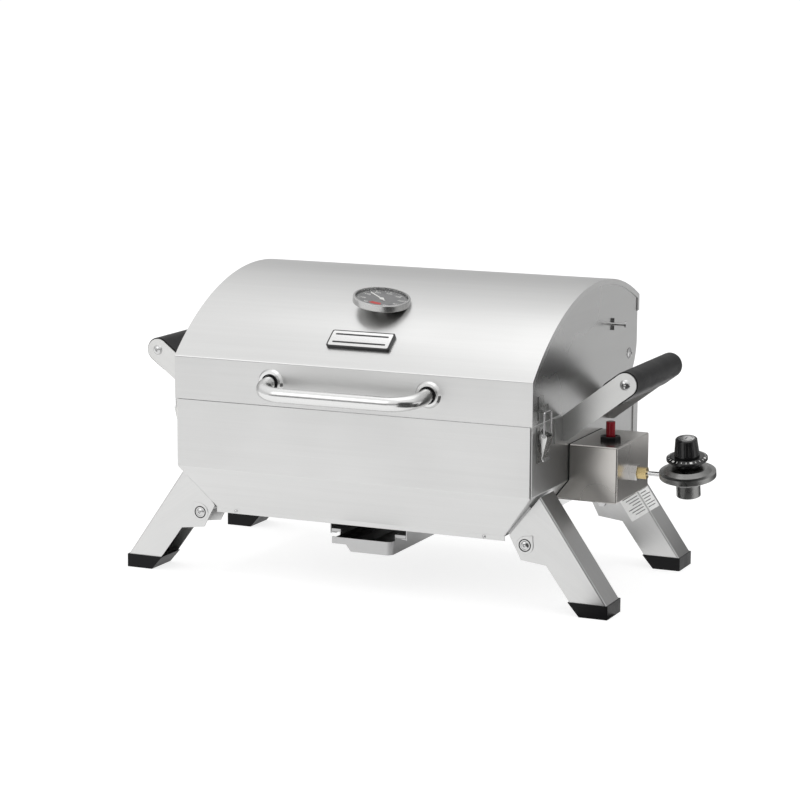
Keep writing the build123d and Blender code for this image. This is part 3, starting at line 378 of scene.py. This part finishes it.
def ring_piece(name, spot, radii, height, look, body):
    """Flat ring with an outer and an inner radius, standing on a place's XY plane."""
    outer, inner = circle(radii[0] * MM), circle(radii[1] * MM)
    mesh = bmesh.new()
    rings = []
    for outline, z in ((outer, 0.0), (outer, height), (inner, height), (inner, 0.0)):
        rings.append([mesh.verts.new(spot @ Vector((x, y, z * MM))) for x, y in outline])
    for first, second in zip(rings, rings[1:] + rings[:1]):
        for i in range(len(first)):
            j = (i + 1) % len(first)
            mesh.faces.new((first[i], first[j], second[j], second[i]))
    return finish_piece(name, mesh, look, body)


# ------------------------------------------------------------------ name plate
LID_ARC = (244.0, 46.5)                 # centre (y, z) of the lid's round wall
LID_RADIUS = 350.0
PLATE_LOW, PLATE_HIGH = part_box("badge")
PLATE_ANGLES = [math.asin((edge.y - ORIGIN.y) / MM / LID_RADIUS - LID_ARC[0] / LID_RADIUS)
                for edge in (PLATE_LOW, PLATE_HIGH)]
PLATE_DEPTH = LID_RADIUS * (PLATE_ANGLES[1] - PLATE_ANGLES[0])
PLATE_MIDDLE = LID_ARC[0] + LID_RADIUS * math.sin(sum(PLATE_ANGLES) / 2)
PLATE_X = 1.5
BASE_LAYER = (0.0, 3.9)                 # the plate's layers, in heights above the lid
FACE_LAYER = (3.7, 4.3)
BAR_LAYER = (4.1, 4.6)
FACE_INSET, BAR_INSET = 4, 14
BAR_DEPTH, BAR_OFFSET = 2.2, 5.5


def curved_plate(mesh, width, depth, corner, layer, centre_y=PLATE_MIDDLE):
    """Add a plate with round corners that follows the lid's round wall."""
    rows = 25
    grid = []
    for i in range(rows):
        v = -math.cos(math.pi * i / (rows - 1)) * depth / 2
        over = max(0.0, abs(v) - (depth / 2 - corner))
        half = width / 2 - (corner - math.sqrt(max(0.0, corner ** 2 - over ** 2)))
        angle = math.asin((centre_y - LID_ARC[0]) / LID_RADIUS) + v / LID_RADIUS
        row = []
        for height in layer:
            r = LID_RADIUS + height
            for side in (-1, 1):
                y, z = LID_ARC[0] + r * math.sin(angle), LID_ARC[1] + r * math.cos(angle)
                row.append(mesh.verts.new(at(PLATE_X + side * half, y, z)))
        grid.append(row)
    for a, b in zip(grid, grid[1:]):
        mesh.faces.new((a[0], a[1], b[1], b[0]))
        mesh.faces.new((a[2], b[2], b[3], a[3]))
        mesh.faces.new((a[0], b[0], b[2], a[2]))
        mesh.faces.new((a[1], a[3], b[3], b[1]))
    mesh.faces.new((grid[0][0], grid[0][2], grid[0][3], grid[0][1]))
    mesh.faces.new((grid[-1][0], grid[-1][1], grid[-1][3], grid[-1][2]))


def name_plate():
    """Blank name plate: a black base, a silver face and two plain raised bars."""
    width = (PLATE_HIGH.x - PLATE_LOW.x) / MM
    mesh = bmesh.new()
    curved_plate(mesh, width, PLATE_DEPTH, 3.0, BASE_LAYER)
    base = finish_piece("badge_base", mesh, "black_paint", "lid", bevel=0.4 * MM)
    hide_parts("badge")
    mesh = bmesh.new()
    curved_plate(mesh, width - FACE_INSET, PLATE_DEPTH - FACE_INSET, 2.0, FACE_LAYER)
    finish_piece("badge_face", mesh, "tube_steel", "lid", bevel=0.2 * MM)
    mesh = bmesh.new()
    for offset in (BAR_OFFSET, -BAR_OFFSET):
        curved_plate(mesh, width - BAR_INSET, BAR_DEPTH, 1.0, BAR_LAYER, PLATE_MIDDLE + offset)
    finish_piece("badge_bars", mesh, "black_paint", "lid")


name_plate()


# ------------------------------------------------------------------ thermometer
def dial_place():
    """Frame on the thermometer's dial: its middle, with Z along its axis."""
    low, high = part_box("gauge_dial")
    return Matrix.Translation((low + high) / 2) @ GAUGE_TILT


DIAL_TOP = 0.38                         # printed marks above the dial's middle
TICK_END = 32.2
NUMBER_RING = 24.4
FIRST_NUMBER, NUMBER_STEP = 50, 50
TICKS, TICKS_PER_NUMBER = 40, 5
SCALE_START, SCALE_SWEEP = math.radians(235), math.radians(-290)


def gauge_marks():
    """Scale of the thermometer: minor and major ticks, numerals and a red zone."""
    place = dial_place() @ Matrix.Translation((0, 0, DIAL_TOP * MM))
    mesh = bmesh.new()
    for i in range(TICKS + 1):
        major = i % TICKS_PER_NUMBER == 0
        turn = Matrix.Rotation(SCALE_START + SCALE_SWEEP * i / TICKS, 4, "Z")
        length, width = (4.2, 0.9) if major else (2.4, 0.45)
        shift = Matrix.Translation(((TICK_END - length / 2) * MM, 0, 0))
        slab(mesh, rounded_rectangle(length * MM, width * MM, 0.1 * MM, 1), place @ turn @ shift, 0.08 * MM)
    finish_piece("gauge_ticks", mesh, "white_paint", "lid")
    mesh = bmesh.new()
    zone = sector(15 * MM, 22 * MM, math.radians(-115), math.radians(-70))
    slab(mesh, zone, place, 0.05 * MM)
    finish_piece("gauge_red_zone", mesh, "red_paint", "lid")
    for i in range(TICKS // TICKS_PER_NUMBER + 1):
        angle = SCALE_START + SCALE_SWEEP * i * TICKS_PER_NUMBER / TICKS
        curve = bpy.data.curves.new(f"gauge_number_{i}", "FONT")
        curve.body = str(FIRST_NUMBER + NUMBER_STEP * i)
        curve.size = 5.4 * MM
        curve.extrude = 0.03 * MM
        curve.align_x = "CENTER"
        curve.align_y = "CENTER"
        curve.materials.append(LOOKS["white_paint"])
        text = bpy.data.objects.new(f"gauge_number_{i}", curve)
        bpy.context.scene.collection.objects.link(text)
        ring = NUMBER_RING * MM
        spot = Matrix.Translation((ring * math.cos(angle), ring * math.sin(angle), 0.04 * MM))
        text.matrix_world = place @ spot
        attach(text, "lid")


gauge_marks()


# ------------------------------------------------------------------ regulator
KNOB_TOP = 52.95                        # heights along the knob's axis, above its joint
KNOB_PRINT = 53.4
DIAL_RING = (23.75, 28.2)               # radius and height of the dial's marks
DIAL_SLOPE = math.radians(23.6)
DIAL_MARKS = 24


def regulator_marks():
    """Plain disc on the knob and tick marks round the dial plate."""
    joint = JOINTS["regulator_knob"]
    place = Matrix.Translation(joint["pos_m"]) @ Matrix.Rotation(KNOB_TILT, 4, "X")
    mesh = bmesh.new()
    slab(mesh, circle(10.6 * MM), place @ Matrix.Translation((0, 0, KNOB_TOP * MM)), 0.5 * MM)
    finish_piece("knob_disc", mesh, "tube_steel", "gas_knob", bevel=0.15 * MM)
    mesh = bmesh.new()
    top = place @ Matrix.Translation((0, 0, KNOB_PRINT * MM))
    for start, end in ((20, 160), (200, 340)):
        slab(mesh, sector(8.2 * MM, 9.2 * MM, math.radians(start), math.radians(end)), top, 0.15 * MM)
    slab(mesh, rounded_rectangle(1.2 * MM, 9 * MM, 0.4 * MM, 3), top, 0.15 * MM)
    finish_piece("knob_marks", mesh, "label_ink", "gas_knob")
    mesh = bmesh.new()
    lift = Matrix.Translation((DIAL_RING[0] * MM, 0, DIAL_RING[1] * MM)) @ Matrix.Rotation(DIAL_SLOPE, 4, "Y")
    for i in range(DIAL_MARKS):
        major = i % 4 == 0
        turn = Matrix.Rotation(math.radians(360 * i / DIAL_MARKS), 4, "Z")
        size = (2.8 * MM, (3.4 if major else 0.8) * MM)
        slab(mesh, rounded_rectangle(*size, 0.2 * MM, 2), place @ turn @ lift, 0.15 * MM)
    finish_piece("dial_marks", mesh, "white_paint", "regulator")


regulator_marks()


# ------------------------------------------------------------------ grease tray
TRAY_INSIDE = ((-26.95, 72.0), (-26.95, 64.85), (-11.95, 64.85),
               (-5.45, 56.05), (49.95, 56.05), (49.95, 72.0))
# A thin black sheet inside the grease tray is painted shade for its shadowed floor and walls.
SHADE_SHEET_THICK = 0.25
SHADE_SHEET_FRONT, SHADE_SHEET_BACK = 10.0, 1.1      # gaps between the painted-shade sheet and the tray's ends


def tray_shade_sheet():
    """Black sheet on the grease tray's floor and walls: painted shade for the shadowed inside of the tray."""
    low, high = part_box("grease_tray")
    near = (low.y - ORIGIN.y) / MM + SHADE_SHEET_FRONT
    far = (high.y - ORIGIN.y) / MM - SHADE_SHEET_BACK
    middle = sum(x for x, z in TRAY_INSIDE) / len(TRAY_INSIDE)
    mesh = bmesh.new()
    rings = []
    for y in (near, far):
        for lift in (0.0, SHADE_SHEET_THICK):
            ring = [at(x + math.copysign(lift, middle - x), y, z + lift) for x, z in TRAY_INSIDE]
            rings.append([mesh.verts.new(point) for point in ring])
    near_low, near_high, far_low, far_high = rings
    skins = ((near_low, far_low), (far_high, near_high), (near_high, near_low), (far_low, far_high))
    last = len(TRAY_INSIDE) - 1
    for first, second in skins:
        for i in range(last):
            mesh.faces.new((first[i], first[i + 1], second[i + 1], second[i]))
    for i in (0, last):
        mesh.faces.new((near_low[i], near_high[i], far_high[i], far_low[i]))
    finish_piece("tray_shade_sheet", mesh, "black_paint", "tray")


tray_shade_sheet()


# ------------------------------------------------------------------ lid handle
HANDLE_POST = (110.0, -3.3, 271.6)      # right end of the handle, at the lid's face
SEAL_RADII, SEAL_HEIGHT = (11.4, 9.9), 1.3


def handle_ring(side):
    """Black seal between the handle's tube and its bezel."""
    x, y, z = HANDLE_POST
    spot = Matrix.Translation(at(side * x, y, z)) @ Matrix.Rotation(math.radians(90), 4, "X")
    name = "handle_ring_" + ("right" if side > 0 else "left")
    ring_piece(name, spot, SEAL_RADII, SEAL_HEIGHT, "black_rubber", "lid")


handle_ring(1)
handle_ring(-1)


# ------------------------------------------------------------------ legs
LEG_TOP = (250.0, 147.5)                # outer line of a right leg, (x, z) at its top and its foot
LEG_OUT = (340.0, 17.0)
PAD_RADIUS, PAD_TIP = 11.5, 17.0
PAD_THICK, PAD_SINK = 1.1, 0.3
PAD_LEAN = math.radians(-38)
# A thin black ring round each leg's pivot bolt is painted shade for the dark gap round the bolt.
BOLT_SHADE_RADII, BOLT_SHADE_HEIGHT = (8.2, 6.9), 0.35


def leg_pad(end, side):
    """Raised tear-shaped pad round the pivot bolt on a leg's outer flange."""
    sign = 1 if side == "right" else -1
    pivot = Vector(JOINTS[f"leg_fold_{end}_{side}"]["pos_m"])
    low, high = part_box(f"leg_{end}_{side}")
    face = low.y if end == "front" else high.y
    outward = -1 if end == "front" else 1
    steps = 20
    opening = math.acos(PAD_RADIUS / PAD_TIP)
    outline = [(0.0, PAD_TIP * MM)]
    for i in range(steps + 1):
        angle = math.pi / 2 + opening + (2 * math.pi - 2 * opening) * i / steps
        outline.append((PAD_RADIUS * math.cos(angle) * MM, PAD_RADIUS * math.sin(angle) * MM))
    basis = Matrix(((sign, 0, 0), (0, 0, outward), (0, 1, 0))).to_4x4()
    lean = Matrix.Rotation(PAD_LEAN, 4, "Z")
    place = Matrix.Translation((pivot.x, face - outward * PAD_SINK * MM, pivot.z)) @ basis @ lean
    mesh = bmesh.new()
    slab(mesh, outline, place, PAD_THICK * MM)
    look = "leg_steel_" + side
    finish_piece(f"leg_pad_{end}_{side}", mesh, look, f"{end}_{side}_leg", bevel=0.5 * MM)
    # Thin black ring round the bolt: painted shade for the dark gap round it.
    ring = place @ Matrix.Translation((0, 0, 1.0 * MM))
    bolt_shade = f"leg_bolt_shade_{end}_{side}"
    ring_piece(bolt_shade, ring, BOLT_SHADE_RADII, BOLT_SHADE_HEIGHT, "black_rubber", f"{end}_{side}_leg")


for leg_end in ("front", "rear"):
    for leg_side in ("right", "left"):
        leg_pad(leg_end, leg_side)


LABEL_START, LABEL_END = 32.0, 84.0      # along the leg, from its top
LABEL_WEB, LABEL_FLANGE = 40.0, 30.0    # widths on the two walls, from the bend
LABEL_EDGE = 1.5
RULES, RULE_PITCH, RULE_WIDTH, RULE_MARGIN = 11, 4.2, 1.0, 4
PAPER_LAYER, RULE_LAYER = (0.02, 0.12), (0.13, 0.05)    # lift off the leg and thickness


def leg_label():
    """Blank ruled label that wraps the front edge of the right rear leg."""
    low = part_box("leg_rear_right")[0]
    run = math.hypot(LEG_OUT[0] - LEG_TOP[0], LEG_OUT[1] - LEG_TOP[1])
    along = Vector(((LEG_OUT[0] - LEG_TOP[0]) / run, 0, (LEG_OUT[1] - LEG_TOP[1]) / run))
    across = Vector((0, 1, 0))
    normal = Vector((-along.z, 0, along.x))
    edge = at(LEG_TOP[0], 0, LEG_TOP[1])
    edge.y = low.y

    def sheet(name, look, runs, lift, thick):
        """Strips on the web and the flange, each (from, to, near, far) in millimetres."""
        mesh = bmesh.new()
        for kind, a, b, near, far in runs:
            out = normal if kind == "web" else -across
            side = across if kind == "web" else -normal
            corner = edge + along * (a * MM) + side * (near * MM) + out * (lift * MM)
            points = []
            for u, v in ((0, 0), (b - a, 0), (b - a, far - near), (0, far - near)):
                points.append(corner + along * (u * MM) + side * (v * MM))
            low_ring = [mesh.verts.new(p) for p in points]
            high_ring = [mesh.verts.new(p + out * (thick * MM)) for p in points]
            mesh.faces.new(low_ring)
            mesh.faces.new(high_ring)
            for i in range(4):
                j = (i + 1) % 4
                mesh.faces.new((low_ring[i], low_ring[j], high_ring[j], high_ring[i]))
        return finish_piece(name, mesh, look, "rear_right_leg")

    paper = [("web", LABEL_START, LABEL_END, LABEL_EDGE, LABEL_WEB),
             ("flange", LABEL_START, LABEL_END, LABEL_EDGE, LABEL_FLANGE)]
    sheet("leg_label", "label_paper", paper, *PAPER_LAYER)
    rules = []
    for i in range(RULES):
        a = LABEL_START + RULE_MARGIN + RULE_PITCH * i
        b = a + RULE_WIDTH
        rules.append(("web", a, b, RULE_MARGIN, LABEL_WEB - RULE_MARGIN - (i % 3) * 5))
        rules.append(("flange", a, b, RULE_MARGIN, LABEL_FLANGE - RULE_MARGIN - (i % 4) * 3))
    sheet("leg_label_rules", "label_ink", rules, *RULE_LAYER)


leg_label()


# ------------------------------------------------------------------ camera, light, floor
CAMERA_SPOT = (1393.0, -2977.8, 823.7)
CAMERA_TURN, CAMERA_RISE, CAMERA_ROLL = (math.radians(angle) for angle in (23.93, 9.774, 0.3155))
CAMERA_LENS = 118.4
SKY_STRENGTH, BACKDROP_STRENGTH = 1.2, 1.05
FLOOR_SHADE, FLOOR_GLOW = 0.32, 0.80


def make_camera():
    """Long lens, a little above the grill and to its right."""
    turn, rise, roll = CAMERA_TURN, CAMERA_RISE, CAMERA_ROLL
    back = Vector((math.sin(turn) * math.cos(rise), -math.cos(turn) * math.cos(rise), math.sin(rise)))
    right = Vector((math.cos(turn), math.sin(turn), 0))
    up = back.cross(right)
    right, up = right * math.cos(roll) + up * math.sin(roll), up * math.cos(roll) - right * math.sin(roll)
    data = bpy.data.cameras.new("camera")
    data.sensor_width = 36.0
    data.lens = CAMERA_LENS
    data.clip_end = 50.0
    camera = bpy.data.objects.new("camera", data)
    bpy.context.scene.collection.objects.link(camera)
    spin = Matrix((right, up, back)).transposed().to_4x4()
    camera.matrix_world = Matrix.Translation(at(*CAMERA_SPOT)) @ spin
    bpy.context.scene.camera = camera


def area_light(name, place, target, size, power):
    """Soft box that looks at a target."""
    data = bpy.data.lights.new(name, "AREA")
    data.shape = "RECTANGLE"
    data.size, data.size_y = size
    data.energy = power
    light = bpy.data.objects.new(name, data)
    bpy.context.scene.collection.objects.link(light)
    light.location = place
    light.rotation_euler = (Vector(target) - Vector(place)).to_track_quat("-Z", "Y").to_euler()


def make_world():
    """Pale studio: bright in front and overhead, duller towards the back and the right."""
    world = bpy.data.worlds.new("studio")
    bpy.context.scene.world = world
    world.use_nodes = True
    tree = world.node_tree
    nodes, links = tree.nodes, tree.links
    shade = nodes["Background"]
    coords = nodes.new("ShaderNodeTexCoord")

    def ramp_along(direction, stops):
        """Brightness along a direction, from behind it to in front of it."""
        dot = nodes.new("ShaderNodeVectorMath")
        dot.operation = "DOT_PRODUCT"
        links.new(coords.outputs["Generated"], dot.inputs[0])
        dot.inputs[1].default_value = Vector(direction).normalized()
        scale = nodes.new("ShaderNodeMapRange")
        scale.inputs["From Min"].default_value = -1.0
        scale.inputs["From Max"].default_value = 1.0
        links.new(dot.outputs["Value"], scale.inputs["Value"])
        ramp = nodes.new("ShaderNodeValToRGB")
        ramp.color_ramp.interpolation = "EASE"
        marks = ramp.color_ramp.elements
        marks[0].position, marks[0].color = stops[0][0], (stops[0][1],) * 3 + (1,)
        marks[1].position, marks[1].color = stops[-1][0], (stops[-1][1],) * 3 + (1,)
        for spot, value in stops[1:-1]:
            marks.new(spot).color = (value,) * 3 + (1,)
        links.new(scale.outputs["Result"], ramp.inputs["Fac"])
        return ramp.outputs["Color"]

    height = ramp_along((0, 0, 1), WORLD_HEIGHT)
    flank = ramp_along(WORLD_FLANK, WORLD_FLANK_STOPS)
    product = nodes.new("ShaderNodeVectorMath")
    product.operation = "MULTIPLY"
    links.new(height, product.inputs[0])
    links.new(flank, product.inputs[1])
    links.new(product.outputs["Vector"], shade.inputs["Color"])
    shade.inputs["Strength"].default_value = SKY_STRENGTH
    plain = nodes.new("ShaderNodeBackground")
    plain.inputs["Color"].default_value = (1, 1, 1, 1)
    plain.inputs["Strength"].default_value = BACKDROP_STRENGTH
    path = nodes.new("ShaderNodeLightPath")
    mix = nodes.new("ShaderNodeMixShader")
    links.new(path.outputs["Is Camera Ray"], mix.inputs["Fac"])
    links.new(shade.outputs["Background"], mix.inputs[1])
    links.new(plain.outputs["Background"], mix.inputs[2])
    links.new(mix.outputs["Shader"], nodes["World Output"].inputs["Surface"])


def make_card(name, corners, shade):
    """Flat card round the grill that is seen only in its polished sheet."""
    mesh = bmesh.new()
    mesh.faces.new([mesh.verts.new(at(*corner)) for corner in corners])
    data = bpy.data.meshes.new(name)
    mesh.to_mesh(data)
    mesh.free()
    look = Shader(name + "_paint", (shade,) * 3, 0.9)
    clouds = look.noise(look.mapped((1, 1, 1)), 4.0, 2.0)
    look.blend(look.range(clouds, 0, 1), (shade * 0.9,) * 3, (shade * 1.1,) * 3)
    data.materials.append(look.material)
    card = bpy.data.objects.new(name, data)
    bpy.context.scene.collection.objects.link(card)
    card.visible_camera = False
    card.visible_shadow = False
    card.visible_diffuse = False
    card.visible_transmission = False


def make_floor():
    """Plain pale table top."""
    mesh = bmesh.new()
    slab(mesh, rounded_rectangle(14.0, 14.0, 0.5, 4), Matrix.Translation((0, 0, -0.02)), 0.02)
    data = bpy.data.meshes.new("floor")
    mesh.to_mesh(data)
    mesh.free()
    look = Shader("floor_paint", (FLOOR_SHADE,) * 3, 0.8)
    clouds = look.noise(look.mapped((1, 1, 1)), 3.0, 2.0)
    look.blend(look.range(clouds, 0, 1), (FLOOR_SHADE,) * 3, (FLOOR_SHADE + 0.01,) * 3)
    look.shader.inputs["Emission Color"].default_value = (1, 1, 1, 1)
    look.shader.inputs["Emission Strength"].default_value = FLOOR_GLOW
    data.materials.append(look.material)
    floor = bpy.data.objects.new("floor", data)
    bpy.context.scene.collection.objects.link(floor)


# The world's brightness as (place, value) stops. The height runs from 0 below to 1 above, the
# flank from 0 at the front left to 1 at the back right.
WORLD_HEIGHT = ((0.0, 0.85), (0.5, 0.70), (0.62, 0.66), (0.80, 0.86), (1.0, 0.95))
WORLD_FLANK = (0.5, 0.8, 0.1)
WORLD_FLANK_STOPS = ((0.0, 1.0), (0.60, 1.0), (0.86, 0.62), (1.0, 0.46))
# Cards by name, X range, Y, Z range and shade, in millimetres of the design frame.
STANDING_CARDS = (
    ("flank_card", (330, 1500), 640, (2, 105), 0.10),
    ("corner_card", (300, 1600), -480, (2, 650), 0.05),
    ("front_card", (-3500, 3500), -2500, (260, 900), 0.20),
)
# Cards on the floor by name, X range, Y range and shade.
LYING_CARDS = (
    ("flank_floor", (300, 3000), (460, 6000), 0.62),
    ("corner_floor", (300, 1600), (-480, 60), 0.05),
    # The under card is a painted shadow: a dark card on the floor under the body, seen in the polished sheet
    # where the glowing floor shows no shade.
    ("under_shade_card", (-215, 250), (60, 330), 0.15),
)

make_camera()
make_world()
make_floor()
for card_name, card_x, card_y, card_z, card_shade in STANDING_CARDS:
    make_card(card_name, ((card_x[0], card_y, card_z[0]), (card_x[1], card_y, card_z[0]),
                          (card_x[1], card_y, card_z[1]), (card_x[0], card_y, card_z[1])), card_shade)
for card_name, card_x, card_y, card_shade in LYING_CARDS:
    make_card(card_name, ((card_x[0], card_y[0], 1), (card_x[1], card_y[0], 1),
                          (card_x[1], card_y[1], 1), (card_x[0], card_y[1], 1)), card_shade)
MIDDLE = at(0, 200, 220)
area_light("key", at(-900, -1500, 1700), MIDDLE, size=(1.6, 1.2), power=5.0)
area_light("top", at(100, 300, 1900), MIDDLE, size=(1.8, 1.2), power=3.0)
bpy.context.scene.view_settings.view_transform = "Standard"
